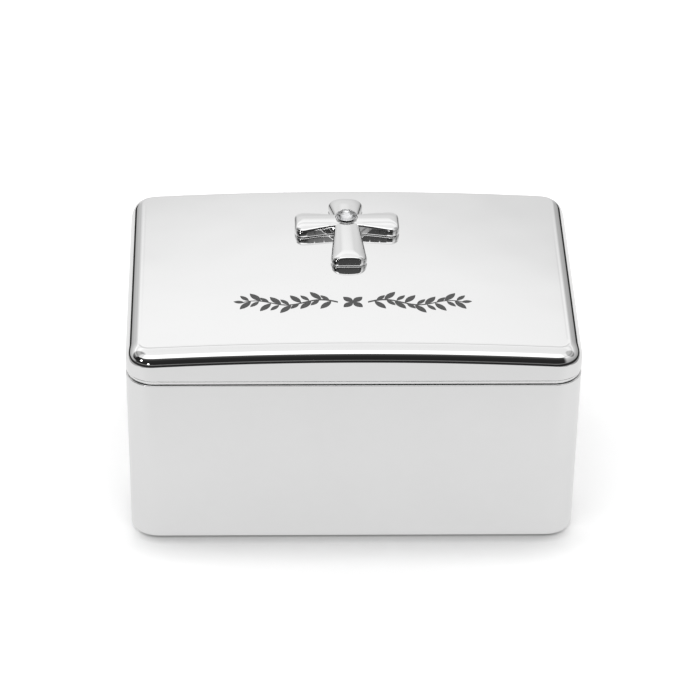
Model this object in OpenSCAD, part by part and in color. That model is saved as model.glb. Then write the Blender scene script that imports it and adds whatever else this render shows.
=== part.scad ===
// Christening box: a cast, plated keepsake box with an arched lid on a five-knuckle hinge,
// a flared cross with a set stone on the lid, and velvet linings.
// Millimetres, +Z up, front towards -Y. The origin is the middle of the face it stands on.

/* [Box] */
// Outside width at the seam, left to right
box_w = 90; // [76:1:120]
// Outside depth at the seam, front to back
box_d = 63; // [54:1:90]
// Height of the base's rim above the table
seam_z = 37; // [26:0.2:60]
// Height of the lid's crown above the base's rim
lid_h = 8.2; // [7.7:0.1:14]
// Plan radius of the upright corners
corner_r = 5.7; // [5:0.1:9]
// Rise of the lid's arch from its sides to its middle
arch_rise = 1.4; // [0.8:0.1:1.6]

/* [Castings] */
// Thickness of the upright walls of base and lid
wall_t = 2.5; // [2.4:0.1:3.2]
// Thickness of the base's floor
floor_t = 2.2; // [1.6:0.1:4]
// Thickness of the lid's top
lid_top_t = 2.2; // [1.6:0.1:2.4]
// Radius of the rolled edge round the lid's top
roll_r = 2.75; // [1.5:0.05:3]
// Radius under the lid's rim, which opens the seam into a line
lid_edge_r = 0.6; // [0.2:0.05:0.9]
// Radius on the outside of the base's rim
base_edge_r = 0.15; // [0.1:0.05:0.6]
// Gap between the two rims of the closed box
seam_gap = 0.1; // [0.05:0.01:0.25]
// How far each side of the base draws in at its foot
draft = 0.3; // [0:0.05:0.8]
// Radius of the base's lower edge
foot_r = 0.9; // [0.5:0.1:2.2]
// Fillets between walls and floor, and walls and ceiling, inside
inner_r = 0.6; // [0.3:0.1:1.2]

/* [Hinge] */
// Outside radius of the hinge tube
knuckle_r = 1; // [0.85:0.05:1.1]
// Radius of the hinge pin
pin_r = 0.5; // [0.35:0.05:0.6]
// Running clearance round the pin
pin_clear = 0.03; // [0.02:0.01:0.08]
// Length of the whole row of knuckles
hinge_len = 56; // [36:1:62]
// Number of knuckles, odd, with the base's at both ends
knuckle_count = 5; // [3:2:9]
// Gap between neighbouring knuckles
knuckle_gap = 0.25; // [0.1:0.05:0.5]
// Clearance between a knuckle and the other half's groove
knuckle_clear = 0.2; // [0.1:0.05:0.25]
// Distance of the hinge axis inside the back face
hinge_inset = 1.05; // [1:0.01:1.2]
// Angle at which the lid's bevel meets the base's and stops it, in degrees
stop_angle = 101.5; // [92:0.5:110]

/* [Cross] */
// Distance of the crossing from the box's back
cross_back = 16.3; // [14.5:0.1:22]
// Place of the crossing to the right of the lid's middle
cross_x = -0.55; // [-3:0.05:3]
// Reach of each side arm from the crossing
side_reach = 10.7; // [8:0.1:14]
// Reach of the short arm towards the back
back_reach = 8.3; // [7:0.1:11]
// Reach of the long arm towards the front
front_reach = 15.5; // [11:0.1:20]
// Width of every arm at its end
arm_end_w = 7.7; // [6:0.1:8.4]
// Width of the side arms at the crossing
side_neck_w = 3.6; // [3.4:0.1:6]
// Width of the long bar at the crossing
long_neck_w = 4.5; // [4.2:0.1:6]
// Height of the arms' crown above the lid's crown
cross_h = 2.4; // [2.1:0.1:4]
// Radius of the arms' domed backs
dome_r = 6.4; // [5.5:0.1:12]
// Layer of solder between cross and lid
solder_t = 0.03; // [0.02:0.01:0.1]
// Radius of the two studs under the cross
stud_r = 0.8; // [0.5:0.05:1.1]
// Radial clearance of the studs in the lid
stud_clear = 0.1; // [0.05:0.05:0.3]
// Length of stud left below the lid's top, through its washer
stud_tail = 0.9; // [0.7:0.05:1.1]
// Outside radius of a stud washer
washer_r = 1.7; // [1.4:0.1:2.4]
// Thickness of a stud washer
washer_t = 0.35; // [0.2:0.05:0.5]

/* [Stone] */
// Radius of the stone at its girdle
stone_r = 2.05; // [1.6:0.05:2.15]
// Height of the stone's crown above its girdle
stone_crown_h = 0.54; // [0.4:0.02:1]
// Thickness of the girdle
girdle_t = 0.1; // [0.05:0.01:0.2]
// Depth of the stone's pavilion below its girdle
stone_depth = 1.6; // [1.2:0.05:1.8]
// How far the girdle stands above the rim of its cup
stone_lift = 0.5; // [0.2:0.05:0.8]
// How far the cup is wider than the girdle
cup_wall = 0.25; // [0.15:0.05:0.4]
// Floor of the cup below the stone's point
cup_floor = 0.2; // [0.1:0.05:0.4]
// Clearance between the stone and its cup, and the cup and its pocket
stone_clear = 0.04; // [0.02:0.01:0.1]
// How far the cup stands proud of the cross
cup_proud = 0.25; // [0.15:0.05:0.9]

/* [Linings] */
// Thickness of the velvet-faced strip round the walls
lining_t = 1.2; // [0.8:0.1:2]
// Distance of the strip's top edge below the rim
lining_drop = 1.4; // [0.5:0.1:4]
// Thickness of the boards under both pads
board_t = 1.2; // [0.8:0.1:1.6]
// Thickness of the floor pad
pad_t = 3; // [2:0.1:6]
// Thickness of the lid pad
lid_pad_t = 1.4; // [0.8:0.1:1.5]
// Radius of the pads' soft edges
pad_edge_r = 0.9; // [0.4:0.1:1.2]
// Clearance round boards, strip and pads
fabric_clear = 0.15; // [0.1:0.05:0.3]
// Thickness of the felt underneath
felt_t = 1; // [0.6:0.1:2]
// Depth of the felt's recess in the base
felt_recess = 0.7; // [0.3:0.1:1]
// Distance of the felt's edge from the base's sides
felt_inset = 3; // [2.5:0.1:4.5]

/* [Hidden] */

$fn = 48;
// Counts of facets: corners, the lid's arch, its rolled edge, small fillets, the stone
corner_steps = 8;
arch_steps = 24;
roll_steps = 7;
fillet_steps = 3;
stone_facets = 16;

// Every cut runs this far past the face it opens
overrun = 1;
// Least plan radius left on an inset corner
least_corner_r = 0.4;

foot_z = felt_t - felt_recess;
floor_z = foot_z + floor_t;
lid_rim_z = seam_z + seam_gap;
crown_z = seam_z + lid_h;
ceiling_z = crown_z - lid_top_t;
arch_r = (pow(box_w / 2, 2) + pow(arch_rise, 2)) / (2 * arch_rise);
hinge_y = box_d / 2 - hinge_inset;
hinge_z = seam_z + seam_gap / 2;
knuckle_pitch = (hinge_len + knuckle_gap) / knuckle_count;
knuckle_len = knuckle_pitch - knuckle_gap;
bore_r = pin_r + pin_clear;
cross_y = box_d / 2 - cross_back;
// Where the studs stand, as shares of the back and front arms
stud_share = 0.62;
cup_r = stone_r + stone_clear + cup_wall;
cup_h = cup_floor + stone_clear + stone_depth - stone_lift;
cup_z = crown_z + cross_h + cup_proud - cup_h;
girdle_z = cup_z + cup_h + stone_lift;
// Radius of the stone's table, as a share of its girdle
table_share = 0.56;
// The floor's board and pad lie inside the lining; the lid's lie clear of its inner fillet
pad_inset = wall_t + lining_t + 2 * fabric_clear;
lid_pad_inset = wall_t + inner_r + fabric_clear;
lid_board_z = ceiling_z - arch_rise - board_t;
lid_pad_z = lid_board_z - lid_pad_t;

function arch_drop(x) = arch_r - sqrt(pow(arch_r, 2) - pow(x, 2));

// Front half of the box's plan drawn in by inset, from the left side round to the right
function front_half(inset, steps) =
    let (w = box_w / 2 - inset, d = box_d / 2 - inset, r = max(corner_r - inset, least_corner_r))
    concat(
        [for (i = [0:corner_steps]) let (a = 180 + 90 * i / corner_steps)
            [r - w + r * cos(a), r - d + r * sin(a)]],
        [for (i = [1:1:steps - 1]) [(w - r) * (2 * i / steps - 1), -d]],
        [for (i = [0:corner_steps]) let (a = 270 + 90 * i / corner_steps)
            [w - r + r * cos(a), r - d + r * sin(a)]]);

// The whole plan: the front half and its mirror image, anticlockwise
function plan(inset, steps = 1) =
    let (front = front_half(inset, steps))
    concat(front, [for (i = [len(front) - 1:-1:0]) [front[i].x, -front[i].y]]);

// One ring of a shell: drawn in by level[0], at height level[1], following the arch by level[2]
function ring(level, steps) =
    [for (p = plan(level[0], steps)) [p.x, p.y, level[1] - level[2] * arch_drop(p.x)]];

// A quarter round of levels: signs of the two moves and the point that the arc bends round
function quarter(r, inset, z, inset_way, z_way, steps, arch = 0) =
    [for (i = [0:steps]) let (a = 90 * i / steps)
        [inset + inset_way * r * (1 - cos(a)), z + z_way * r * (1 - sin(a)), arch]];

function reversed(list) = [for (i = [len(list) - 1:-1:0]) list[i]];

// Closed skin over rings, from a lid facing up to a lid facing down
module skin(levels, steps = 1) {
    rings = [for (level = levels) ring(level, steps)];
    count = len(rings[0]);
    last = (len(rings) - 1) * count;
    half = count / 2;
    sides = [for (j = [0:len(rings) - 2]) for (i = [0:count - 1])
        let (a = j * count + i, b = j * count + (i + 1) % count)
        each [[a, b, b + count], [a, b + count, a + count]]];
    top = [for (i = [0:half - 2])
        each [[i, count - 1 - i, count - 2 - i], [i, count - 2 - i, i + 1]]];
    bottom = [for (face = top) [for (k = [2, 1, 0]) last + face[k]]];
    polyhedron(points = [for (ring = rings) each ring], faces = concat(sides, top, bottom));
}

// A flat sheet of the plan, drawn in by inset
module sheet(inset, z, t) {
    translate([0, 0, z]) linear_extrude(t) polygon(plan(inset));
}

// The half of the hinge's V behind its axis that one rim loses: way is -1 for base, 1 for lid
module stop_bevel(way) {
    run = hinge_inset + overrun;
    translate([0, hinge_y, hinge_z]) rotate([90, 0, 90])
        linear_extrude(box_w + 2 * overrun, center = true)
            polygon([[0, 0], [run, 0], [run, way * run * tan(stop_angle / 2)]]);
}

// A round bar on the hinge axis, from x to x + length
module axis_bar(x, length, r) {
    translate([x, hinge_y, hinge_z]) rotate([0, 90, 0]) cylinder(r = r, h = length);
}

function knuckle_x(i) = i * knuckle_pitch - hinge_len / 2;

// Grooves in one half of the box: its own knuckles are let in, the other half's run clear
module knuckle_seats(first) {
    for (i = [0:knuckle_count - 1])
        if (i % 2 == first)
            axis_bar(knuckle_x(i), knuckle_len, knuckle_r);
        else
            axis_bar(knuckle_x(i) - knuckle_gap, knuckle_len + 2 * knuckle_gap,
                     knuckle_r + knuckle_clear);
}

module knuckles(first) {
    for (i = [first:2:knuckle_count - 1]) difference() {
        axis_bar(knuckle_x(i), knuckle_len, knuckle_r);
        axis_bar(knuckle_x(i) - overrun, knuckle_len + 2 * overrun, bore_r);
    }
}

// Plan of one bar of the cross, along X: reach to the left and right of the crossing
module bar_plan(left, right, neck_w) {
    polygon([[-left, -arm_end_w / 2], [0, -neck_w / 2], [right, -arm_end_w / 2],
             [right, arm_end_w / 2], [0, neck_w / 2], [-left, arm_end_w / 2]]);
}

// One bar of the cross, domed along its length
module bar(left, right, neck_w) {
    length = left + right + 2 * overrun;
    intersection() {
        translate([0, 0, solder_t]) linear_extrude(cross_h) bar_plan(left, right, neck_w);
        translate([-left - overrun, 0, cross_h - dome_r]) rotate([0, 90, 0])
            cylinder(r = dome_r, h = length);
    }
}

// Two round bars where the cross is pinned, from below the lid's crown to above it
module stud_bars(r, below, above = 0) {
    for (y = [-front_reach, back_reach])
        translate([cross_x, cross_y + y * stud_share, crown_z - below])
            cylinder(r = r, h = below + above);
}

module base_shell() {
    color("gainsboro") difference() {
        skin(concat(
            reversed(quarter(inner_r, wall_t, floor_z, 1, 1, fillet_steps)),
            [[wall_t, seam_z, 0]],
            reversed(quarter(base_edge_r, 0, seam_z, 1, -1, fillet_steps)),
            quarter(foot_r, draft, foot_z, 1, 1, fillet_steps + 1),
            [[felt_inset, foot_z, 0], [felt_inset, foot_z + felt_recess, 0]]));
        knuckle_seats(0);
        stop_bevel(-1);
    }
}

module lid_shell() {
    color("gainsboro") difference() {
        skin(concat(
            reversed(quarter(roll_r, 0, crown_z, 1, -1, roll_steps, 1)),
            quarter(lid_edge_r, 0, lid_rim_z, 1, 1, fillet_steps),
            [[wall_t, lid_rim_z, 0]],
            quarter(inner_r, wall_t, ceiling_z, 1, -1, fillet_steps, 1)), arch_steps);
        knuckle_seats(1);
        stop_bevel(1);
        stud_bars(stud_r + stud_clear, lid_top_t + overrun, overrun);
    }
}

module base_knuckles() { color("silver") knuckles(0); }

module lid_knuckles() { color("silver") knuckles(1); }

module hinge_pin() { color("dimgray") axis_bar(-hinge_len / 2, hinge_len, pin_r); }

module cross() {
    color("whitesmoke") difference() {
        translate([cross_x, cross_y, crown_z]) {
            bar(side_reach, side_reach, side_neck_w);
            rotate([0, 0, 90]) bar(front_reach, back_reach, long_neck_w);
        }
        translate([cross_x, cross_y, cup_z - stone_clear])
            cylinder(r = cup_r + stone_clear, h = cup_h + overrun);
    }
    color("whitesmoke") stud_bars(stud_r, lid_top_t + stud_tail, cross_h / 2);
}

module cross_washers() {
    color("slategray") difference() {
        translate([0, 0, -lid_top_t - solder_t]) stud_bars(washer_r, washer_t);
        stud_bars(stud_r + solder_t, lid_top_t + overrun);
    }
}

// Collet of the stone: a plain cup with a conical seat
module stone_cup() {
    throat = stone_r * (1 - stone_lift / stone_depth) + stone_clear;
    color("silver") translate([cross_x, cross_y, cup_z]) rotate_extrude()
        polygon([[0, 0], [cup_r, 0], [cup_r, cup_h], [throat, cup_h], [0, cup_floor]]);
}

// Ring of the stone's points: an eight-sided outline, or a full round where flat is 1
function stone_ring(r, z, flat) =
    [for (i = [0:stone_facets - 1]) let (a = 360 * i / stone_facets, s = i % 2 == 0 ? 1 : flat)
        [r * s * cos(a), r * s * sin(a), z]];

// Brilliant: table, crown, girdle and pointed pavilion
module stone() {
    flat = cos(360 / stone_facets);
    points = concat(
        stone_ring(stone_r * table_share, stone_crown_h, flat),
        stone_ring(stone_r, girdle_t, 1),
        stone_ring(stone_r, 0, 1),
        [[0, 0, -stone_depth]]);
    n = stone_facets;
    sides = [for (j = [0, 1]) for (i = [0:n - 1]) let (a = j * n + i, b = j * n + (i + 1) % n)
        each [[a, b, b + n], [a, b + n, a + n]]];
    pavilion = [for (i = [0:n - 1]) [2 * n + i, 2 * n + (i + 1) % n, 3 * n]];
    color("aliceblue") translate([cross_x, cross_y, girdle_z]) polyhedron(
        points = points, faces = concat([[for (i = [n - 1:-1:0]) i]], sides, pavilion));
}

module underside_felt() { color("midnightblue") sheet(felt_inset + fabric_clear, 0, felt_t); }

module wall_lining() {
    bottom = floor_z + inner_r;
    height = seam_z - lining_drop - bottom;
    color("midnightblue") difference() {
        sheet(wall_t + fabric_clear, bottom, height);
        sheet(wall_t + fabric_clear + lining_t, bottom - overrun, height + 2 * overrun);
    }
}

module floor_board() { color("tan") sheet(pad_inset, floor_z, board_t); }

// Velvet over wadding, with soft edges on its show side
module floor_pad() {
    bottom = floor_z + board_t;
    color("navy") skin(concat(
        reversed(quarter(pad_edge_r, pad_inset, bottom + pad_t, 1, -1, fillet_steps)),
        [[pad_inset, bottom, 0]]));
}

module lid_board() { color("tan") sheet(lid_pad_inset, lid_board_z, board_t); }

module lid_pad() {
    color("navy") skin(concat(
        [[lid_pad_inset, lid_board_z, 0]],
        quarter(min(pad_edge_r, lid_pad_t / 2), lid_pad_inset, lid_pad_z, 1, 1, fillet_steps)));
}

base_shell();
underside_felt();
wall_lining();
floor_board();
floor_pad();
base_knuckles();
hinge_pin();
lid_shell();
lid_knuckles();
lid_board();
lid_pad();
cross();
cross_washers();
stone_cup();
stone();
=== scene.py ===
import math

import bmesh
import bpy
from mathutils import Matrix, Vector, noise


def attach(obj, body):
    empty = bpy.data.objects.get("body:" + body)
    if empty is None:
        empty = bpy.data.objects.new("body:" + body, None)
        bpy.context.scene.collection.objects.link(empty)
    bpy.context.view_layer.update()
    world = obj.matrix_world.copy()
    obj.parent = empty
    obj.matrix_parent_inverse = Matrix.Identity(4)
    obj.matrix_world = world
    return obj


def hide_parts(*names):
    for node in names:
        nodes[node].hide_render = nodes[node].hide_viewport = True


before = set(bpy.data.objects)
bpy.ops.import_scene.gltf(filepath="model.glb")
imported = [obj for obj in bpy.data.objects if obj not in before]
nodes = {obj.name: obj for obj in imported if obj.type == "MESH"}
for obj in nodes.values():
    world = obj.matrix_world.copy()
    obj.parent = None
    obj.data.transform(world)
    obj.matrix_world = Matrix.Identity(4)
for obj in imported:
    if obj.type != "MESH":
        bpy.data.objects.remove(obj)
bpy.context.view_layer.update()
scene = bpy.context.scene

# The box is modelled in millimetres; each finished mesh is brought to metres as it is added.
millimetre = 0.001
box = {
    "width": 90.0,
    "depth": 63.0,
    "seam": 36.9,          # top of the base's rim
    "seamGap": 0.1,
    "crown": 45.2,         # top of the lid in its middle
    "cornerRadius": 5.7,
    "archRise": 1.4,
    "wall": 2.5,
    "hingeY": 30.45,
    "hingeZ": 37.05,
    "stopAngle": 101.5,
    "crossX": -0.55,       # the cross was soldered a little to the left
    "crossY": 15.2,
}
archRadius = ((box["width"] / 2) ** 2 + box["archRise"] ** 2) / (2 * box["archRise"])


def archDrop(x):
    return archRadius - math.sqrt(archRadius ** 2 - x ** 2)


# Small workshop helpers.

def bevel(bm, edges, offset, segments):
    return bmesh.ops.bevel(bm, geom=list(edges), offset=offset, offset_type="OFFSET", affect="EDGES",
                           segments=segments, profile=0.5, material=-1, clamp_overlap=False)


def isLevel(item, z):
    return all(abs(v.co.z - z) < 1e-3 for v in item.verts)


def levelEdges(bm, z):
    return [e for e in bm.edges if isLevel(e, z)]


def levelFace(bm, z):  # the largest one at this height
    return max((f for f in bm.faces if isLevel(f, z)), key=lambda f: f.calc_area())


def cutOnce(bm, normal, distance, faces=None):  # cuts the faces, or everything, along one plane
    geometry = bm.verts[:] + bm.edges[:] + bm.faces[:]
    if faces is not None:
        geometry = [*{v for f in faces for v in f.verts}, *{e for f in faces for e in f.edges}, *faces]
    bmesh.ops.bisect_plane(bm, geom=geometry, dist=1e-5, plane_co=Vector(normal) * distance, plane_no=normal)


def cutRows(bm, normal, spacing, count, first=None):  # parallel cuts, about the middle unless first is given
    for i in range(count):
        cutOnce(bm, normal, i * spacing + (-spacing * (count - 1) / 2 if first is None else first))


def roundedBlock(width, depth, low, high, corner, segments):
    bm = bmesh.new()
    bmesh.ops.create_cube(bm, size=1)
    bmesh.ops.scale(bm, vec=(width, depth, high - low), verts=bm.verts)
    bmesh.ops.translate(bm, vec=(0, 0, (low + high) / 2), verts=bm.verts)
    uprights = [e for e in bm.edges if abs(e.verts[0].co.z - e.verts[1].co.z) > (high - low) / 2]
    bevel(bm, uprights, corner, segments)
    return bm


def stripAcross(bm, reach, count, levels):  # cuts the block into strips, so that it can follow the arch
    for i in range(1, count):
        cutOnce(bm, (1, 0, 0), reach * (2 * i / count - 1))
    for z in levels:  # the ends, between the rounded corners
        for face in [f for f in bm.faces if len(f.verts) > 8 and isLevel(f, z)]:
            front = sorted((v for v in face.verts if v.co.y < 0), key=lambda v: v.co.x)
            back = sorted((v for v in face.verts if v.co.y > 0), key=lambda v: v.co.x)
            for a, b in list(zip(front, back))[1:-1]:
                bmesh.ops.connect_verts(bm, verts=[a, b])


def sinkFace(bm, face, inset, z):  # insets a level face and pushes it to a new height
    bmesh.ops.inset_region(bm, faces=[face], thickness=inset, use_even_offset=True)
    made = bmesh.ops.extrude_discrete_faces(bm, faces=[face])["faces"][0]
    for v in made.verts:
        v.co.z = z
    return made


def stepIn(bm, face, profile):  # carries a level face through (inset, height) points, ring by ring
    last = 0
    for inset, z in profile:
        bmesh.ops.inset_region(bm, faces=[face], thickness=inset - last, use_even_offset=True)
        for v in face.verts:
            v.co.z = z
        last = inset


def spun(profile, axis, centre=(0, 0, 0), steps=64, closed=False):
    # profile: (along the axis, radius) pairs, turned once round the axis
    bm = bmesh.new()
    along = Vector(axis)
    outward = Vector((0, 0, 1)) if abs(along.z) < 0.5 else Vector((1, 0, 0))
    points = [bm.verts.new(Vector(centre) + along * a + outward * r) for a, r in profile]
    chain = [bm.edges.new(p) for p in zip(points, points[1:])]
    if closed:
        chain.append(bm.edges.new((points[-1], points[0])))
    bmesh.ops.spin(bm, geom=points + chain, cent=centre, axis=axis, angle=2 * math.pi, steps=steps,
                   use_merge=True)
    bmesh.ops.remove_doubles(bm, verts=bm.verts, dist=1e-4)
    bmesh.ops.dissolve_degenerate(bm, edges=bm.edges, dist=1e-5)
    bmesh.ops.recalc_face_normals(bm, faces=bm.faces)
    return bm


def rod(radius, length, middle, segments):  # an upright round bar
    bm = bmesh.new()
    bmesh.ops.create_cone(bm, cap_ends=True, segments=segments, radius1=radius, radius2=radius, depth=length,
                          matrix=Matrix.Translation(middle))
    return bm


def turnZ(bm, degrees, verts=None):
    bmesh.ops.rotate(bm, cent=(0, 0, 0), matrix=Matrix.Rotation(math.radians(degrees), 3, "Z"),
                     verts=verts or bm.verts)


def toObject(bm, name):
    mesh = bpy.data.meshes.new(name)
    bm.to_mesh(mesh)
    bm.free()
    made = bpy.data.objects.new(name, mesh)
    scene.collection.objects.link(made)
    return made


def evaluated(item):  # the object as its modifiers leave it
    return item.evaluated_get(bpy.context.evaluated_depsgraph_get())


def combine(bm, tool, operation="DIFFERENCE"):  # cuts or joins two solids, and uses both up
    pair = [toObject(source, name) for source, name in ((bm, "workPiece"), (tool, "cutTool"))]
    cut = pair[0].modifiers.new("cut", "BOOLEAN")
    cut.operation, cut.solver, cut.object = operation, "EXACT", pair[1]
    result = bmesh.new()
    result.from_mesh(bpy.data.meshes.new_from_object(evaluated(pair[0])))
    for o in pair:
        bpy.data.objects.remove(o)
    bmesh.ops.remove_doubles(result, verts=result.verts, dist=2e-4)
    return result


def addPiece(name, bm, material, body, standsFor=(), sharp=35, weighted=True, flat=False):
    bmesh.ops.scale(bm, vec=(millimetre,) * 3, verts=bm.verts)
    for f in bm.faces:
        f.smooth = not flat
    for e in bm.edges:
        e.smooth = not (e.is_manifold and e.calc_face_angle(0) > math.radians(sharp))
    piece = toObject(bm, name)
    piece.data.materials.append(material)
    if weighted and not flat:
        hold = piece.modifiers.new("evenNormals", "WEIGHTED_NORMAL")
        hold.keep_sharp = True
    if standsFor:
        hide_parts(*standsFor)
    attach(piece, body)
    return piece


# Materials.

def newMaterial(name):
    material = bpy.data.materials.new(name)
    material.use_nodes = True
    tree = material.node_tree
    return material, tree, tree.nodes["Principled BSDF"]


def addNode(tree, kind, **settings):
    node = tree.nodes.new(kind)
    for key, value in settings.items():
        if key.startswith("in_"):
            node.inputs[key[3:]].default_value = value
        else:
            setattr(node, key, value)
    return node


def feed(socket, value):  # a constant or another node's output
    if isinstance(value, bpy.types.NodeSocket):
        socket.id_data.links.new(value, socket)
    else:
        socket.default_value = value


def objectNoise(tree, scale, detail=2.0, roughness=0.5):
    where = addNode(tree, "ShaderNodeTexCoord")
    pattern = addNode(tree, "ShaderNodeTexNoise", in_Scale=scale, in_Detail=detail, in_Roughness=roughness)
    feed(pattern.inputs["Vector"], where.outputs["Object"])
    return pattern.outputs["Fac"]


noiseSpan = (0.3, 0.7)  # nearly all of a noise lies between these


def spread(tree, source, low, high):
    remap = addNode(tree, "ShaderNodeMapRange")
    remap.inputs["From Min"].default_value, remap.inputs["From Max"].default_value = noiseSpan
    remap.inputs["To Min"].default_value, remap.inputs["To Max"].default_value = low, high
    feed(remap.inputs["Value"], source)
    return remap.outputs["Result"]


def tint(tree, source, low, high):
    ramp = addNode(tree, "ShaderNodeValToRGB")
    for mark, place, colour in zip(ramp.color_ramp.elements, noiseSpan, (low, high)):
        mark.position, mark.color = place, (*colour, 1)
    feed(ramp.inputs["Fac"], source)
    return ramp.outputs["Color"]


def bump(tree, shader, height, strength, distance):
    relief = addNode(tree, "ShaderNodeBump", in_Strength=strength, in_Distance=distance)
    feed(relief.inputs["Height"], height)
    feed(shader.inputs["Normal"], relief.outputs["Normal"])


def mottled(name, low, high, rough, scale, detail, fineness=0.5):  # one noise varies colour and roughness
    material, tree, shader = newMaterial(name)
    flecks = objectNoise(tree, scale, detail, fineness)
    feed(shader.inputs["Base Color"], tint(tree, flecks, low, high))
    feed(shader.inputs["Roughness"], spread(tree, flecks, *rough))
    return material, tree, shader, flecks


metal = {"hazeScale": 90, "hazeDetail": 4, "waveScale": 60.0}


def plate(name, grey, rough, waveDepth):
    low, high = [(value,) * 3 for value in grey]
    material, tree, shader, haze = mottled(name, low, high, rough, metal["hazeScale"], metal["hazeDetail"])
    shader.inputs["Metallic"].default_value = 1.0
    bump(tree, shader, objectNoise(tree, metal["waveScale"], detail=1), strength=1.0, distance=waveDepth)
    return material


silverPlate = plate("silverPlate", grey=(0.79, 0.80), rough=(0.02, 0.05), waveDepth=0.00002)
stoneFoil = plate("stoneFoil", grey=(0.95, 0.98), rough=(0.05, 0.6), waveDepth=0.000002)
hingeSilver = plate("hingeSilver", grey=(0.72, 0.78), rough=(0.12, 0.2), waveDepth=0.000005)
pinSteel = plate("pinSteel", grey=(0.42, 0.5), rough=(0.22, 0.34), waveDepth=0.000005)

stoneGlass, tree, shader, flecks = mottled("clearStone", low=(0.97, 0.98, 1.0), high=(1, 1, 1),
                                           rough=(0.0, 0.01), scale=900, detail=1)
shader.inputs["Transmission Weight"].default_value = 1.0
shader.inputs["IOR"].default_value = 1.7

darkFill, tree, shader, flecks = mottled("darkEngravingFill", low=(0.075,) * 3, high=(0.1,) * 3,
                                         rough=(0.45, 0.6), scale=1500, detail=3)
shader.inputs["Specular IOR Level"].default_value = 0.2

board, tree, shader, flecks = mottled("liningBoard", low=(0.012, 0.013, 0.022), high=(0.03, 0.032, 0.05),
                                      rough=(0.8, 0.95), scale=700, detail=6, fineness=0.7)
bump(tree, shader, flecks, strength=0.4, distance=0.00005)

cloth = {
    "shadingScale": 160,
    "shadingShare": 0.45,
    "rough": (0.75, 0.95),
    "sheenRoughness": 0.35,
    "sheenTint": (0.35, 0.42, 0.75, 1),
    "shine": 0.1,
    "pileStrength": 0.7,
}


def pileCloth(name, low, high, scale, depth, sheen):
    material, tree, shader = newMaterial(name)
    pile = objectNoise(tree, scale, detail=3, roughness=0.7)
    shading = objectNoise(tree, cloth["shadingScale"], detail=3)
    mix = addNode(tree, "ShaderNodeMix", data_type="FLOAT", in_Factor=cloth["shadingShare"])
    feed(mix.inputs[2], pile)
    feed(mix.inputs[3], shading)
    feed(shader.inputs["Base Color"], tint(tree, mix.outputs[0], low, high))
    feed(shader.inputs["Roughness"], spread(tree, pile, *cloth["rough"]))
    shader.inputs["Sheen Weight"].default_value = sheen
    shader.inputs["Sheen Roughness"].default_value = cloth["sheenRoughness"]
    shader.inputs["Sheen Tint"].default_value = cloth["sheenTint"]
    shader.inputs["Specular IOR Level"].default_value = cloth["shine"]
    bump(tree, shader, pile, cloth["pileStrength"], depth)
    return material


velvet = pileCloth("navyVelvet", low=(0.004, 0.007, 0.028), high=(0.012, 0.02, 0.07), scale=2600,
                   depth=0.00012, sheen=0.7)
felt = pileCloth("navyFelt", low=(0.008, 0.01, 0.022), high=(0.02, 0.024, 0.05), scale=1400,
                 depth=0.0002, sheen=0.25)

for nodeName, finish in (("floor_board", board), ("lid_board", board), ("cross_washers", pinSteel)):
    nodes[nodeName].data.materials.clear()
    nodes[nodeName].data.materials.append(finish)
print("materials ready")

# Base and lid castings.

hinge = {
    "length": 56.0,
    "count": 5,
    "gap": 0.25,
    "tubeRadius": 1.0,
    "tubeEdge": 0.1,
    "clear": 0.2,
    "bore": 0.53,
    "pin": 0.5,
    "pinEdge": 0.15,
}
hingeAxis = (0, box["hingeY"], box["hingeZ"])
knucklePitch = (hinge["length"] + hinge["gap"]) / hinge["count"]
knuckleLength = knucklePitch - hinge["gap"]


def knuckleStart(i):
    return i * knucklePitch - hinge["length"] / 2


def hingeGroove(own):  # stepped bar: the half's own tubes are let in, the other half's run clear
    profile = []
    for i in range(hinge["count"]):
        mine = i % 2 == own
        r = hinge["tubeRadius"] + (0 if mine else hinge["clear"])
        start = knuckleStart(i) - (0 if mine else hinge["gap"])
        end = knuckleStart(i) + knuckleLength + (0 if mine else hinge["gap"])
        profile += [(start, r), (end, r)]
    ends = [(profile[i][0], 0) for i in (0, -1)]
    return spun([ends[0], *profile, ends[1]], (1, 0, 0), hingeAxis, steps=48)


def stopBevel(bm, way):  # planes away the rim behind the hinge axis; way is 1 for the lid, -1 for the base
    half = math.radians(box["stopAngle"] / 2)
    everything = bm.verts[:] + bm.edges[:] + bm.faces[:]
    cut = bmesh.ops.bisect_plane(bm, geom=everything, plane_co=hingeAxis,
                                 plane_no=(0, math.sin(half), -way * math.cos(half)), clear_outer=True)
    rim = [e for e in cut["geom_cut"] if isinstance(e, bmesh.types.BMEdge) and e.is_boundary]
    bmesh.ops.holes_fill(bm, edges=rim, sides=0)
    bmesh.ops.recalc_face_normals(bm, faces=bm.faces)


base = {
    "bottom": 0.3,         # the felt reaches below it
    "floor": 2.5,
    "draft": 0.45,         # how far the walls are drawn in at the foot
    "footRadius": 0.72,
    "rimRadius": 0.16,
    "innerRadius": 0.6,
    "feltInset": 3.0,
    "feltRecess": 0.7,
    "cornerSegments": 20,
}

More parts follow.
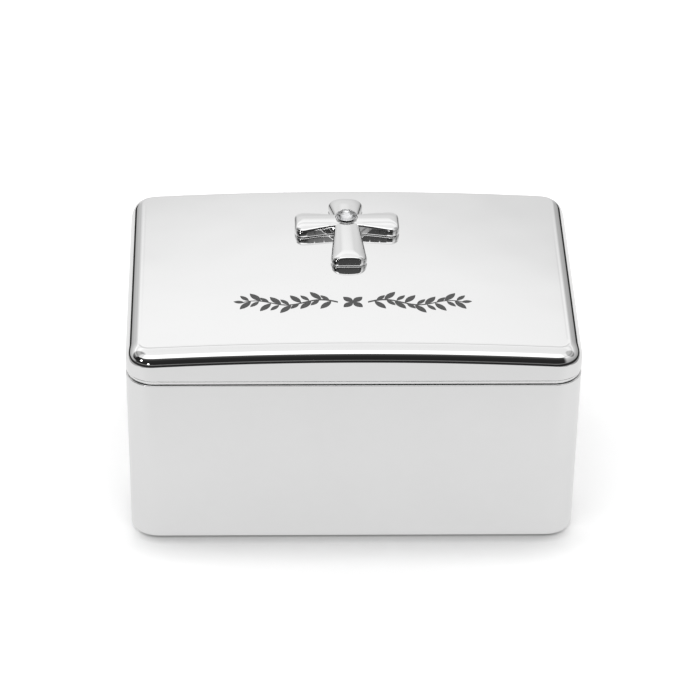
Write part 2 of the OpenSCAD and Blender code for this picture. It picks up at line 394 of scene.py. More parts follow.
bm = roundedBlock(box["width"], box["depth"], base["bottom"], box["seam"], box["cornerRadius"],
                  base["cornerSegments"])
for v in bm.verts:
    if v.co.z < box["seam"] / 2:
        v.co.x *= 1 - 2 * base["draft"] / box["width"]
        v.co.y *= 1 - 2 * base["draft"] / box["depth"]
bevel(bm, levelEdges(bm, base["bottom"]), base["footRadius"], segments=10)
bevel(bm, levelEdges(bm, box["seam"]), base["rimRadius"], segments=5)
floorFace = sinkFace(bm, levelFace(bm, box["seam"]), box["wall"] - base["rimRadius"], base["floor"])
bevel(bm, floorFace.edges, base["innerRadius"], segments=5)
sinkFace(bm, levelFace(bm, base["bottom"]), base["feltInset"] - base["draft"] - base["footRadius"],
         base["bottom"] + base["feltRecess"])
stopBevel(bm, way=-1)
bm = combine(bm, hingeGroove(own=0))
baseBody = addPiece("baseBody", bm, silverPlate, "base", ["base_shell"])
print("base body", len(baseBody.data.polygons), "faces")

lid = {
    "roll": ((3.2, 66), (5.9, 77), (0.35, 90)),   # arcs of the rolled top edge: radius, turned as far as
    "crease": 14,                                 # the angle at which the roll meets the flat top
    "rollStep": 4,                                # degrees
    # a fine line along the front of the flat top: inset beyond the roll, height over the crown
    "line": ((0.03, -0.003), (0.36, -0.06), (0.42, -0.062), (0.7, 0)),
    "lineStart": 25.0,                            # how far forward it starts to show
    "lineFade": 3.0,
    "lineReach": 0.095,                           # what lies less deep is flat behind its start
    # the lip above the seam: inset, height over the rim
    "lip": ((0.02, 0.98), (0.05, 0.93), (0.22, 0.72), (0.235, 0.66), (0.24, 0.42), (0.255, 0.3),
            (0.29, 0.18), (0.34, 0.08), (0.4, 0.02), (0.47, 0)),
    "lipTop": 1.02,
    "squareness": 0.11,                           # of the corners at the crown
    "squareShare": 0.62,                          # of it where the roll starts
    "ceiling": 43.0,
    "innerRadius": 0.6,
    "cornerSegments": 20,
    "strips": 40,
    "studRadius": 0.9,
    "studs": (box["crossY"] - 9.61, box["crossY"] + 5.146),
    "drillLength": 6.0,
    "drillMiddle": 44.0,
}
lidRim = box["seam"] + box["seamGap"]


def rollProfile():  # (inset, height) points from the side wall up to the lid's top
    across, down, turned, points = 0, 0, lid["crease"], []
    for radius, limit in lid["roll"]:
        steps = max(5, round((limit - turned) / lid["rollStep"]))
        for i in range(1, 1 + steps):
            a = math.radians(turned + (limit - turned) * i / steps)
            points.append((across + radius * (math.sin(a) - math.sin(math.radians(turned))),
                           down + radius * (math.cos(math.radians(turned)) - math.cos(a))))
        (across, down), turned = points[-1], limit
    made = [(across - x, -z) for x, z in reversed(points[:-1])] + [(across, 0)]
    return made + [(across + inset, z) for inset, z in lid["line"]], down


roll, rollHeight = rollProfile()
bm = roundedBlock(box["width"], box["depth"], lidRim + lid["lipTop"], box["crown"] - rollHeight,
                  box["cornerRadius"], lid["cornerSegments"])
stepIn(bm, levelFace(bm, box["crown"] - rollHeight), [(inset, box["crown"] + z) for inset, z in roll])
stepIn(bm, levelFace(bm, lidRim + lid["lipTop"]), [(inset, lidRim + z) for inset, z in lid["lip"]])
ceilingFace = sinkFace(bm, levelFace(bm, lidRim), box["wall"] - lid["lip"][-1][0], lid["ceiling"])
bevel(bm, ceilingFace.edges, lid["innerRadius"], segments=5)
stripAcross(bm, box["width"] / 2 - box["cornerRadius"], lid["strips"], (box["crown"], lid["ceiling"]))
low, high = lidRim + lid["lipTop"], box["crown"] - rollHeight
for v in bm.verts:
    if box["crown"] - lid["lineReach"] < v.co.z < box["crown"]:  # the fine line shows along the front only
        shown = max(0, min(1, (-v.co.y - lid["lineStart"]) / lid["lineFade"]))
        v.co.z = box["crown"] + (v.co.z - box["crown"]) * shown
    rise = max(0, min(1, (v.co.z - low) / (high - low)))
    across = abs(v.co.x) - box["width"] / 2 + box["cornerRadius"]
    along = abs(v.co.y) - box["depth"] / 2 + box["cornerRadius"]
    if across > 0 and along > 0:  # the corners are squarer at the top than at the seam
        onRoll = max(0, min(1, (v.co.z - high) / (box["crown"] - high)))
        square = lid["squareness"] * (rise * lid["squareShare"] + (1 - lid["squareShare"]) * onRoll)
        push = 1 + square * (2 * across * along / (across ** 2 + along ** 2)) ** 2
        v.co.x += math.copysign(across * (push - 1), v.co.x)
        v.co.y += math.copysign(along * (push - 1), v.co.y)
    v.co.z -= archDrop(v.co.x) * rise
stopBevel(bm, way=1)
bm = combine(bm, hingeGroove(own=1))
for y in lid["studs"]:
    middle = (box["crossX"], y, lid["drillMiddle"])
    bm = combine(bm, rod(lid["studRadius"], lid["drillLength"], middle, segments=32))
lidBody = addPiece("lidBody", bm, silverPlate, "lid", ["lid_shell"])
print("lid body", len(lidBody.data.polygons), "faces")

# Hinge.

for body, own, nodeName, pieceName in (("base", 0, "base_knuckles", "baseHingeTubes"),
                                       ("lid", 1, "lid_knuckles", "lidHingeTubes")):
    tubes = bmesh.new()
    r, c = hinge["tubeRadius"], hinge["tubeEdge"]
    for i in range(own, hinge["count"], 2):
        a, b = knuckleStart(i), knuckleStart(i) + knuckleLength
        tube = spun([(a, hinge["bore"]), (a, r - c), (a + c, r), (b - c, r), (b, r - c), (b, hinge["bore"])],
                    (1, 0, 0), hingeAxis, steps=48, closed=True)
        part = bpy.data.meshes.new("tube")
        tube.to_mesh(part)
        tube.free()
        tubes.from_mesh(part)
    addPiece(pieceName, tubes, hingeSilver, body, [nodeName])
half, tip, r = hinge["length"] / 2, hinge["pinEdge"], hinge["pin"]
pin = spun([(-half, 0), (-half, r - tip), (-half + tip, r), (half - tip, r), (half, r - tip), (half, 0)],
           (1, 0, 0), hingeAxis, steps=32)
addPiece("hingePin", pin, pinSteel, "base", ["hinge_pin"])
print("hinge ready")

# Cross, collet and stone.

cross = {
    # end and neck are widths; dome: how far the sides drop, and how flat the middle stays
    "side": {"reach": (10.65, 10.75), "end": 8.0, "neck": 3.3, "dome": (0.98, 3.3), "endRound": 2.2,
             "endDrop": 0.45},
    "long": {"reach": (15.5, 7.9), "end": 7.7, "neck": 4.5, "dome": (1.1, 2.6), "endRound": 1.8,
             "endDrop": 0.12},
    "sideForward": 0.6,    # the side arms stand a little forward of the stone
    "longLift": 0.006,     # keeps the two bars' flats apart where they cross
    "twist": 0.8,
    "setOff": (-0.1, -0.23),
    "height": 2.4,
    "lean": 0.03,
    "solder": 0.03,
    "endSpan": 2.0,
    "topEdge": 0.55,
    "lowEdge": 0.3,
    "cutsAcross": 18,
    "cutsAlong": 44,
    "leastSlope": 0.05,    # faces that look up less than this count as side walls
    "studRadius": 0.8,
    "studLength": 4.3,
    "studFoot": 3.1,       # below the crown
    "pocketRadius": 2.3,
    "pocketLength": 4.0,
    "pocketMiddle": 2.87,
}


def crossBar(shape):
    bm = bmesh.new()
    left, right = shape["reach"]
    e, n, h, lean = shape["end"] / 2, shape["neck"] / 2, cross["height"], cross["lean"]
    plan = [(-left, -e), (0, -n), (right, -e), (right, e), (0, n), (-left, e)]
    bm.faces.new([bm.verts.new((x, y, cross["solder"])) for x, y in plan])
    raised = bmesh.ops.extrude_face_region(bm, geom=bm.faces[:])["geom"]
    for v in raised:
        if isinstance(v, bmesh.types.BMVert):
            v.co.z = h
            v.co.y -= math.copysign(lean, v.co.y)
            v.co.x -= math.copysign(lean, v.co.x) if abs(v.co.x) > h / 2 else 0
    bmesh.ops.recalc_face_normals(bm, faces=bm.faces)
    uprights = [ed for ed in bm.edges
                if abs(ed.verts[0].co.z - ed.verts[1].co.z) > h / 2 and abs(ed.verts[0].co.x) > h / 2]
    bevel(bm, uprights, shape["endRound"], segments=10)
    bevel(bm, levelEdges(bm, h), cross["topEdge"], segments=6)
    bevel(bm, levelEdges(bm, cross["solder"]), cross["lowEdge"], segments=4)
    for count, span, normal in ((cross["cutsAcross"], e, (0, 1, 0)),
                                (cross["cutsAlong"], max(left, right), (1, 0, 0))):
        for i in range(1, count):  # the side walls stay in long strips, for even normals
            faces = [f for f in bm.faces if normal[0] or f.normal.z > cross["leastSlope"]]
            cutOnce(bm, normal, span * (2 * i / count - 1), faces)
    low, high = cross["solder"] + cross["lowEdge"], h - cross["topEdge"]
    for v in bm.verts:
        dome = shape["dome"][0] * (abs(v.co.y) / e) ** shape["dome"][1]
        fromEnd = (left if v.co.x < 0 else right) - abs(v.co.x)
        dome += shape["endDrop"] * max(0, 1 - fromEnd / cross["endSpan"]) ** 2
        v.co.z -= dome * max(0, min(1, (v.co.z - low) / (high - low)))
    return bm


bm = crossBar(cross["side"])
bmesh.ops.translate(bm, vec=(0, -cross["sideForward"], 0), verts=bm.verts)
longBar = crossBar(cross["long"])
turnZ(longBar, 90)
bmesh.ops.translate(longBar, vec=(0, 0, cross["longLift"]), verts=longBar.verts)
bm = combine(bm, longBar, "UNION")
turnZ(bm, cross["twist"])
pocket = rod(cross["pocketRadius"], cross["pocketLength"], (0, 0, cross["pocketMiddle"]), segments=64)
bm = combine(bm, pocket)
crossX, crossY = box["crossX"] + cross["setOff"][0], box["crossY"] + cross["setOff"][1]
bmesh.ops.translate(bm, vec=(crossX, crossY, box["crown"]), verts=bm.verts)
studMiddle = box["crown"] - cross["studFoot"] + cross["studLength"] / 2
for y in lid["studs"]:
    stud = rod(cross["studRadius"], cross["studLength"], (box["crossX"], y, studMiddle), segments=32)
    bm = combine(bm, stud, "UNION")
crossCasting = addPiece("crossCasting", bm, silverPlate, "lid", ["cross"], sharp=28)
print("cross", len(crossCasting.data.polygons), "faces")

setting = {
    "radius": 2.18,
    "girdleHeight": 48.0,
    # rings of the stone: share of its radius, height over the girdle, corners, turned by degrees
    "rings": ((0.56, 0.8, 8, 0), (0.8, 0.52, 8, 22.5), (1.0, 0.1, 16, 0), (1.0, 0.0, 16, 0),
              (0.42, -1.056, 8, 22.5), (0.012, -1.6, 8, 0)),
    "cupRadius": 2.26,
    "cupBottom": 46.51,
    "cupTop": 47.54,
    "cupThick": 0.2,
    # edge of the collet from outside to inside: radius, depth below its top
    "edge": ((2.26, 0.12), (2.248, 0.072), (2.188, 0.012), (2.104, 0), (2.02, 0.02), (1.52, 0.1),
             (1.46, 0.14)),
}
bottom, top = setting["cupBottom"], setting["cupTop"]
edge = [(top - depth, radius) for radius, depth in setting["edge"]]
cup = spun([(bottom, 0), (bottom, setting["cupRadius"]), *edge, (bottom + setting["cupThick"], 0)],
           (0, 0, 1), (crossX, crossY, 0), steps=72)
addPiece("stoneCollet", cup, silverPlate, "lid", ["stone_cup"])

gem = bmesh.new()
for share, z, corners, turned in setting["rings"]:
    place = Matrix.Translation((0, 0, z)) @ Matrix.Rotation(math.radians(turned), 4, "Z")
    bmesh.ops.create_circle(gem, segments=corners, radius=setting["radius"] * share, matrix=place)
hull = bmesh.ops.convex_hull(gem, input=gem.verts)
inside = [x for x in hull["geom_interior"] if isinstance(x, bmesh.types.BMVert)]
bmesh.ops.delete(gem, geom=inside, context="VERTS")
bmesh.ops.dissolve_limit(gem, angle_limit=0.01, verts=gem.verts, edges=gem.edges)
bmesh.ops.recalc_face_normals(gem, faces=gem.faces)
for f in gem.faces:  # foil behind the stone, as on dress stones
    f.material_index = 1 if f.calc_center_median().z < -0.01 else 0
bmesh.ops.translate(gem, vec=(crossX, crossY, setting["girdleHeight"]), verts=gem.verts)
stone = addPiece("brilliantStone", gem, stoneGlass, "lid", ["stone"], flat=True)
stone.data.materials.append(stoneFoil)
print("stone and collet ready")

# Engraved leaf band on the lid, filled dark.

band = {
    "middleY": -13.8,
    "proud": 0.02,
    "sunk": 0.04,
    # one half's stem, from the middle outwards
    "stemStart": 3.0,
    "stemLength": 19.2,
    "stemHalfWidth": 0.26,
    "stemTaper": 0.008,        # for each millimetre
    "swing": 0.9,
    "swings": 3,
    "swingSpan": 20.0,
    # leaves: length, width, degrees from the band's run
    "large": (3.6, 1.35, 52),
    "small": (2.6, 1.0, 48),
    "tip": (2.2, 1.0, 10),
    "rosette": (2.7, 1.5, 45),
    "pairs": 9,
    "firstPair": 4.3,
    "pairStep": 2.0,
    "smallAhead": 0.4,
    "offStem": 0.1,
    "tipX": 21.6,
    "tipSwingX": 22.0,
}


def leaf(bm, x, y, shape, way=1):  # way turns the leaf to the upper or the lower side
    length, width, angle = shape
    ring = bmesh.ops.create_circle(bm, cap_ends=True, segments=24, radius=1)["verts"]
    for v in ring:
        v.co.y *= math.sqrt(max(0, 1 - v.co.x ** 2))
    bmesh.ops.scale(bm, vec=(length / 2, width / 2, 1), verts=ring)
    bmesh.ops.translate(bm, vec=(length / 2, 0, 0), verts=ring)
    turnZ(bm, way * angle, ring)
    bmesh.ops.translate(bm, vec=(x, y, 0), verts=ring)


def stemY(x):
    return band["swing"] * math.sin((x - band["stemStart"]) / band["swingSpan"] * band["swings"] * math.pi)


bm = bmesh.new()
stem = bmesh.ops.create_grid(bm, x_segments=80, y_segments=1, size=0.5)["verts"]
for v in stem:
    side, out = v.co.y * 2, (v.co.x + 0.5) * band["stemLength"]
    x = band["stemStart"] + out
    v.co.x, v.co.y = x, stemY(x) + side * (band["stemHalfWidth"] - band["stemTaper"] * out)
for i in range(band["pairs"]):
    x = band["firstPair"] + i * band["pairStep"]
    up = 1 if i % 2 else -1
    leaf(bm, x, stemY(x) + up * band["offStem"], band["large"], up)
    leaf(bm, x + band["smallAhead"], stemY(x) - up * band["offStem"], band["small"], -up)
leaf(bm, band["tipX"], stemY(band["tipSwingX"]), band["tip"])
bmesh.ops.remove_doubles(bm, verts=bm.verts, dist=1e-4)
mirrored = bmesh.ops.duplicate(bm, geom=bm.verts[:] + bm.edges[:] + bm.faces[:])["geom"]
bmesh.ops.scale(bm, vec=(-1, 1, 1), verts=[v for v in mirrored if isinstance(v, bmesh.types.BMVert)])
length, width, firstAngle = band["rosette"]
for quarter in range(4):
    leaf(bm, 0, 0, (length, width, firstAngle + 90 * quarter))
for f in bm.faces:
    if f.normal.z < 0:
        f.normal_flip()
flats = bm.faces[:]
raised = bmesh.ops.extrude_face_region(bm, geom=flats, use_keep_orig=True)["geom"]
topVerts = {v for v in raised if isinstance(v, bmesh.types.BMVert)}
for v in bm.verts:
    v.co.y += band["middleY"]
    v.co.z = box["crown"] - archDrop(v.co.x) + (band["proud"] if v in topVerts else -band["sunk"])
bmesh.ops.recalc_face_normals(bm, faces=bm.faces)
addPiece("engravedLeafBand", bm, darkFill, "lid", weighted=False)
print("leaf band ready")

# Linings: velvet on thin wadding round the walls, on the floor and in the lid, and felt underneath.

strip = {
    "inset": 2.65,
    "thick": 1.2,
    "low": 3.1,
    "high": 35.6,
    "rounding": 0.5,
    "wave": 0.22,
    "waveScale": 0.13,
    "joinWidth": 0.45,
    "joinDepth": 0.4,
    "joinCuts": (-0.45, -0.2, 0.2, 0.45),
}


def fromEdge(x, y, halfX, halfY, corner):  # how far a point lies inside a rounded rectangle, and the way out
    across, along = abs(x) - halfX + corner, abs(y) - halfY + corner
    if across > 0 and along > 0:
        reach = math.hypot(across, along)
        return corner - reach, Vector((math.copysign(across, x), math.copysign(along, y), 0)) / reach
    if across > along:
        return corner - across, Vector((math.copysign(1, x), 0, 0))
    return corner - along, Vector((0, math.copysign(1, y), 0))


halfX, halfY = box["width"] / 2 - strip["inset"], box["depth"] / 2 - strip["inset"]
corner = box["cornerRadius"] - strip["inset"]
bm = roundedBlock(2 * halfX, 2 * halfY, strip["low"], strip["high"], corner, segments=12)
sunk = sinkFace(bm, levelFace(bm, strip["high"]), strip["thick"], strip["low"])
bmesh.ops.delete(bm, geom=[sunk, levelFace(bm, strip["low"])], context="FACES_ONLY")
bmesh.ops.bridge_loops(bm, edges=[e for e in bm.edges if e.is_boundary])
bmesh.ops.recalc_face_normals(bm, faces=bm.faces)
upperEdges = [e for e in levelEdges(bm, strip["high"]) if e.calc_face_angle(0) > 1]
bevel(bm, upperEdges, strip["rounding"], segments=6)
cutRows(bm, (1, 0, 0), spacing=2.0, count=41)
for x in strip["joinCuts"]:
    cutOnce(bm, (1, 0, 0), x)
cutRows(bm, (0, 1, 0), spacing=2.0, count=27)
cutRows(bm, (0, 0, 1), spacing=2.5, count=12, first=6.0)
for v in bm.verts:
    deep, outward = fromEdge(v.co.x, v.co.y, halfX, halfY, corner)
    share = max(0, min(1, deep / strip["thick"]))
    hollow = strip["wave"] * (0.5 + 0.5 * noise.noise(v.co * strip["waveScale"])) * share
    if v.co.y > 0 and abs(v.co.x) < strip["joinWidth"]:  # the ends meet in the middle of the back wall
        hollow += strip["joinDepth"] * (1 - abs(v.co.x) / strip["joinWidth"]) * share
    v.co += outward * hollow
addPiece("velvetWallStrip", bm, velvet, "base", ["wall_lining"], sharp=60, weighted=False)

pads = {
    # fill: how full the pad is; cap: the most that it may swell; pleat: the depth of its folds
    "floorCushion": {"size": (82.0, 55.0), "low": 3.7, "high": 6.7, "corner": 1.7, "body": "base",
                     "standsFor": "floor_pad", "showsDown": False, "fill": 0.8, "cap": 2.2, "pleat": 0.16},
    "lidCushion": {"size": (83.5, 56.5), "low": 39.0, "high": 40.4, "corner": 2.45, "body": "lid",
                   "standsFor": "lid_pad", "showsDown": True, "fill": 0.9, "cap": 1.1, "pleat": 0.07},
}
simulated = {
    "scale": 0.008,            # metres of the trial for each millimetre
    "voxel": 0.0062,
    "pressure": 4.0,
    "frames": 20,
    "shares": (0.97, 0.96),    # of the pad's width and depth before it is filled
    "heightShare": 0.6,
    "roundShare": 0.2,
}
pleats = {"count": 16, "reach": 5.5, "fade": 7.0, "least": 0.3}   # fine folds that gather at the corners


def swell(start, cap):  # lets air pressure fill the cover, and gives the places that its points reach
    pad = bpy.data.objects.new("padTrial", start)
    scene.collection.objects.link(pad)
    cover = pad.modifiers.new("cover", "CLOTH")
    cover.settings.use_pressure = True
    cover.settings.uniform_pressure_force = simulated["pressure"]
    cover.settings.effector_weights.gravity = 0
    cover.collision_settings.use_collision = False
    cover.point_cache.frame_start, cover.point_cache.frame_end = 1, simulated["frames"]
    for f in range(1, simulated["frames"] + 1):
        scene.frame_set(f)
    after = evaluated(pad).to_mesh()
    limit = cap * simulated["scale"]
    moved = []
    for old, new in zip(start.vertices, after.vertices):
        way = new.co - old.co
        moved.append(old.co + way * (limit * math.tanh(way.length / limit) / max(way.length, 1e-9)))
    bpy.data.objects.remove(pad)
    scene.frame_set(1)
    return moved


def makePad(name, kind):
    (width, depth), low, high = kind["size"], kind["low"], kind["high"]
    thick = high - low
    startWidth, startDepth = width * simulated["shares"][0], depth * simulated["shares"][1]
    startHigh = thick * simulated["heightShare"]
    bm = roundedBlock(startWidth, startDepth, 0, startHigh, kind["corner"], segments=8)
    bevel(bm, levelEdges(bm, startHigh), thick * simulated["roundShare"], segments=3)
    bmesh.ops.scale(bm, vec=(simulated["scale"],) * 3, verts=bm.verts)
    block = toObject(bm, name)
    remesh = block.modifiers.new("remesh", "REMESH")
    remesh.mode, remesh.voxel_size = "VOXEL", simulated["voxel"]
    start = bpy.data.meshes.new_from_object(evaluated(block))
    bpy.data.objects.remove(block)
    places = swell(start, kind["cap"])
    bm = bmesh.new()
    bm.from_mesh(start)
    for v, p in zip(bm.verts, places):
        v.co = (p.x, p.y, max(p.z, 0))
    farX, farY = max(v.co.x for v in bm.verts), max(v.co.y for v in bm.verts)
    top = max(v.co.z for v in bm.verts)
    for v in bm.verts:
        v.co = (v.co.x * width / 2 / farX, v.co.y * depth / 2 / farY, v.co.z * thick / top)
        away, along = width / 2 - abs(v.co.x), depth / 2 - abs(v.co.y)
        distance = math.hypot(away, along)
        fold = math.cos(pleats["count"] * math.atan2(along, away))
        fold *= math.exp(-(distance / pleats["reach"]) ** 2)
        if v.co.z > pleats["least"] * thick:
            v.co.z -= kind["pleat"] * (0.5 + 0.5 * fold) * math.exp(-(distance / pleats["fade"]) ** 2)
        v.co.z = high - v.co.z if kind["showsDown"] else low + v.co.z
    bmesh.ops.smooth_vert(bm, verts=bm.verts, factor=0.3, use_axis_x=True, use_axis_y=True, use_axis_z=True)
    bmesh.ops.recalc_face_normals(bm, faces=bm.faces)
    piece = addPiece(name, bm, velvet, kind["body"], [kind["standsFor"]], sharp=180,
                     weighted=False)
    finer = piece.modifiers.new("finer", "SUBSURF")
    finer.levels, finer.render_levels = 1, 1
    print(name, len(piece.data.polygons), "faces")


for padName, padKind in pads.items():
    makePad(padName, padKind)

feltSheet = {"inset": 3.15, "thick": 1.0, "edge": 0.12, "fray": 0.06, "frayScale": 0.9, "frayReach": 0.3}
halfX, halfY = box["width"] / 2 - feltSheet["inset"], box["depth"] / 2 - feltSheet["inset"]
corner = box["cornerRadius"] - feltSheet["inset"]
bm = roundedBlock(2 * halfX, 2 * halfY, 0, feltSheet["thick"], corner, segments=10)
for z in (0, feltSheet["thick"]):
    bevel(bm, levelEdges(bm, z), feltSheet["edge"], segments=2)
cutRows(bm, (1, 0, 0), spacing=1.5, count=55)
cutRows(bm, (0, 1, 0), spacing=1.5, count=37)
for v in bm.verts:  # a knife-cut edge is never quite straight
    deep, outward = fromEdge(v.co.x, v.co.y, halfX, halfY, corner)
    if deep < feltSheet["frayReach"]:
        v.co -= outward * feltSheet["fray"] * (0.5 + 0.5 * noise.noise(v.co * feltSheet["frayScale"]))
addPiece("feltBase", bm, felt, "base", ["underside_felt"], sharp=50, weighted=False)
print("linings ready")

# Camera.

camera = {
    "place": (-21.77, -667.74, 457.41),    # millimetres
    "forward": (0.02735, 0.83899, -0.54346),
    "roll": 0.861,                         # degrees
    "lens": 199.94,
    "sensor": 36,
    "near": 0.05,
    "far": 10,
}
cameraData = bpy.data.cameras.new("camera")
cameraData.lens, cameraData.sensor_width = camera["lens"], camera["sensor"]
cameraData.clip_start, cameraData.clip_end = camera["near"], camera["far"]
eye = bpy.data.objects.new("camera", cameraData)
scene.collection.objects.link(eye)
forward = Vector(camera["forward"]).normalized()
right = forward.cross(Vector((0, 0, 1))).normalized()
up = right.cross(forward)
turn = math.radians(camera["roll"])
right, up = right * math.cos(turn) + up * math.sin(turn), up * math.cos(turn) - right * math.sin(turn)
facing = Matrix((right, up, -forward)).transposed().to_4x4()
eye.matrix_world = Matrix.Translation(Vector(camera["place"]) * millimetre) @ facing
scene.camera = eye

# Studio: a white room with a dark side behind the camera, and a dark band at the height of the floor's edge.

overhead = ((30.2, 0.87), (30.6, 0.945), (30.85, 0.965), (31.1, 1.05), (31.6, 1.09), (32.5, 1.135),
            (35.5, 1.17), (37.5, 1.1), (39.5, 0.97), (42.5, 0.97), (46, 1.15), (55, 1.2), (61, 1.06),
            (84, 1.03), (90, 1.04))
studio = {
    # brightness by elevation in degrees: towards the sides, straight behind the box, on the camera's side
    "sides": ((-90, 0.5), (-9, 0.4), (-7.5, 0.03), (0.5, 0.03), (3, 0.48), (9, 0.53), (20, 0.7),
              (27.6, 0.84), *overhead),
    "behind": ((-90, 0.9), (-8, 0.88), (3, 0.8), (12, 0.78), (20, 0.78), (27.6, 0.88), *overhead),
    "cameraSide": ((-90, 0.5), (-9, 0.4), (-7.5, 0.03), (0.6, 0.02), (2.2, 0.35), (3.8, 0.02), (24, 0.03),
                   (30, 0.08), (36.8, 0.12), (39, 1.6), (60, 1.6), (65, 1.06), (90, 1.04)),
    "sideLimits": (0.2, 0.53),       # cosine of the azimuth from the camera's side, where its ramp fades in
    "behindLimits": (0.87, 0.97),    # the same for the ramp straight behind
    "openToRight": 0.95,             # the dark side ends sooner on the right
    "fallToRight": 0.15,             # how much darker the room is on its right
    # bright windows and dark screens that only reflections show: degrees left of the camera's side,
    # elevation, half size, added brightness
    "windows": ((38, 20, 5, 7), (13, 6, 2.5, 5), (78, 40, 34, -0.75), (-82, 42, 24, -0.45)),
    "windowCore": 0.7,               # share of the half size that has the full brightness
    "darkest": 0.02,
}
world = bpy.data.worlds.new("studio")
scene.world = world
world.use_nodes = True
tree = world.node_tree
tree.nodes.clear()


def calculate(kind, operation, values):
    node = addNode(tree, kind, operation=operation)
    for socket, value in zip(node.inputs, values):
        feed(socket, value)
    return node


def maths(operation, *values):
    return calculate("ShaderNodeMath", operation, values).outputs[0]


def vectorMaths(operation, *values):
    return calculate("ShaderNodeVectorMath", operation, values)


def brightness(stops, elevation):
    ramp = addNode(tree, "ShaderNodeValToRGB")
    marks = ramp.color_ramp.elements
    while len(marks) < len(stops):
        marks.new(0.5)
    for mark, (degrees, value) in zip(marks, stops):  # all are placed before the first one is coloured
        mark.position = (degrees + 90) / 180
    for mark, (degrees, value) in zip(marks, stops):
        mark.color = (value, value, value, 1)
    feed(ramp.inputs["Fac"], elevation)
    return ramp.outputs["Color"]


def fade(value, limits):
    node = addNode(tree, "ShaderNodeMapRange", interpolation_type="SMOOTHSTEP")
    node.inputs["From Min"].default_value, node.inputs["From Max"].default_value = limits
    feed(node.inputs["Value"], value)
    return node.outputs["Result"]


def blendBy(factor, a, b):
    node = addNode(tree, "ShaderNodeMix", data_type="RGBA")
    for socket, value in ((node.inputs["Factor"], factor), (node.inputs[6], a), (node.inputs[7], b)):
        feed(socket, value)
    return node.outputs[2]


direction = addNode(tree, "ShaderNodeTexCoord").outputs["Generated"]
parts = addNode(tree, "ShaderNodeSeparateXYZ")
feed(parts.inputs[0], direction)
upward = parts.outputs["Z"]
elevation = maths("MULTIPLY_ADD", maths("ARCSINE", upward), 1 / math.pi, 0.5)
level = maths("SQRT", maths("MAXIMUM", maths("SUBTRACT", 1, maths("MULTIPLY", upward, upward)), 1e-6))
towards = maths("DIVIDE", maths("MULTIPLY", parts.outputs["Y"], -1), level)
sideways = maths("DIVIDE", parts.outputs["X"], level)

room = blendBy(fade(maths("MULTIPLY", towards, -1), studio["behindLimits"]),
               brightness(studio["sides"], elevation), brightness(studio["behind"], elevation))
opened = maths("SUBTRACT", towards, maths("MULTIPLY", maths("MAXIMUM", sideways, 0), studio["openToRight"]))
room = blendBy(fade(opened, studio["sideLimits"]), room, brightness(studio["cameraSide"], elevation))
leftward = maths("SUBTRACT", 1, maths("MULTIPLY", parts.outputs["X"], studio["fallToRight"]))
shaded = vectorMaths("SCALE", room)
feed(shaded.inputs["Scale"], leftward)
lit = shaded.outputs[0]
lightPath = addNode(tree, "ShaderNodeLightPath")
for azimuth, height, size, strength in studio["windows"]:
    azimuth, height = math.radians(azimuth), math.radians(height)
    middle = (-math.sin(azimuth) * math.cos(height), -math.cos(azimuth) * math.cos(height), math.sin(height))
    nearness = vectorMaths("DOT_PRODUCT", direction, middle).outputs["Value"]
    limits = [math.cos(math.radians(size * share)) for share in (1, studio["windowCore"])]
    shown = maths("MULTIPLY", fade(nearness, limits), lightPath.outputs["Is Glossy Ray"])
    lit = vectorMaths("ADD", lit, maths("MULTIPLY", shown, strength)).outputs[0]
lit = vectorMaths("MAXIMUM", lit, (studio["darkest"],) * 3).outputs[0]
background = addNode(tree, "ShaderNodeBackground")
feed(background.inputs["Color"], blendBy(lightPath.outputs["Is Camera Ray"], lit, (1, 1, 1, 1)))
output = addNode(tree, "ShaderNodeOutputWorld")
feed(output.inputs["Surface"], background.outputs[0])

# Floor: pale paper.

sheet = {
    "halfWidth": 0.2,
    "front": -0.19,
    "back": 0.7,
    "grainScale": 300,
    "grain": (0.99, 1.01),
    "colour": 0.8,
    "inPhoto": 1.3,                        # where the camera or the stone looks at it
    "inMetal": 0.3,                        # where the polished metal does
    "glow": 0.63,                          # added light that only the metal shows
    "glowInShadow": 0.2,                   # share of the glow lost in the close shadow
    "glowFar": (-0.05, -0.1),              # metres in front of the box's middle where the glow weakens
    "glowLoss": 0.06,
    "contacts": ((0.011, 0.72), (0.0024, 0.85)),   # broad and close shadow at the foot: metres, depth
    "contactLimits": (-0.026, -0.034),     # the shadow is full along the front edge
    "sideShadow": 0.16,                    # and weak along the front half of the sides
    "sideShadowLimits": (-0.004, -0.022),
}
floorMesh = bmesh.new()
bmesh.ops.create_grid(floorMesh, x_segments=8, y_segments=8, size=0.5)
bmesh.ops.scale(floorMesh, vec=(2 * sheet["halfWidth"], sheet["back"] - sheet["front"], 1),
                verts=floorMesh.verts)
bmesh.ops.translate(floorMesh, vec=(0, (sheet["front"] + sheet["back"]) / 2, 0), verts=floorMesh.verts)
floor = toObject(floorMesh, "floor")
paper = bpy.data.materials.new("palePaper")
paper.use_nodes = True
paper.cycles.emission_sampling = "NONE"
tree = paper.node_tree
tree.nodes.clear()
grain = objectNoise(tree, sheet["grainScale"], detail=3)
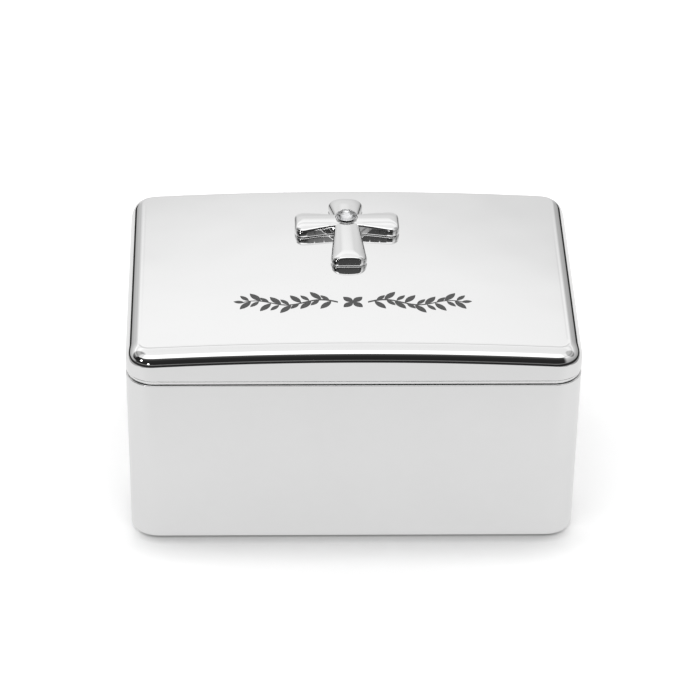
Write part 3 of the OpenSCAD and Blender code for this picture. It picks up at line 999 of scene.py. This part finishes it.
lightPath = addNode(tree, "ShaderNodeLightPath")
seenDirectly = maths("MAXIMUM", lightPath.outputs["Is Camera Ray"], lightPath.outputs["Is Transmission Ray"])
seenInMetal = lightPath.outputs["Is Glossy Ray"]
shade = maths("ADD", sheet["colour"],
              maths("ADD", maths("MULTIPLY", seenDirectly, sheet["inPhoto"] - sheet["colour"]),
                    maths("MULTIPLY", seenInMetal, sheet["inMetal"] - sheet["colour"])))
parts = addNode(tree, "ShaderNodeSeparateXYZ")
feed(parts.inputs[0], addNode(tree, "ShaderNodeTexCoord").outputs["Object"])
backward = parts.outputs["Y"]
beside = maths("MULTIPLY", fade(backward, sheet["sideShadowLimits"]), sheet["sideShadow"])
shadow = maths("MAXIMUM", fade(backward, sheet["contactLimits"]), beside)
for reach, depth in sheet["contacts"]:
    contact = addNode(tree, "ShaderNodeAmbientOcclusion", in_Distance=reach, samples=8)
    hidden = maths("SUBTRACT", 1, contact.outputs["AO"])
    inShadow = maths("MULTIPLY", hidden, maths("MULTIPLY", shadow, depth))
    shade = maths("MULTIPLY", shade, maths("SUBTRACT", 1, maths("MULTIPLY", inShadow, seenDirectly)))
shade = maths("MULTIPLY", shade, spread(tree, grain, *sheet["grain"]))
matte = addNode(tree, "ShaderNodeBsdfDiffuse")
feed(matte.inputs["Color"], shade)
lost = maths("MULTIPLY", inShadow, sheet["glow"] * sheet["glowInShadow"])
lostAhead = maths("MULTIPLY", fade(backward, sheet["glowFar"]), sheet["glowLoss"])
dimmed = maths("SUBTRACT", maths("SUBTRACT", sheet["glow"], lost), lostAhead)
glow = addNode(tree, "ShaderNodeEmission")
feed(glow.inputs["Strength"], maths("MULTIPLY", seenInMetal, dimmed))
both = addNode(tree, "ShaderNodeAddShader")
for socket, shader in zip(both.inputs, (matte, glow)):
    feed(socket, shader.outputs[0])
output = addNode(tree, "ShaderNodeOutputMaterial")
feed(output.inputs["Surface"], both.outputs[0])
floor.data.materials.append(paper)

scene.view_settings.view_transform = "Standard"
print("camera and studio ready")
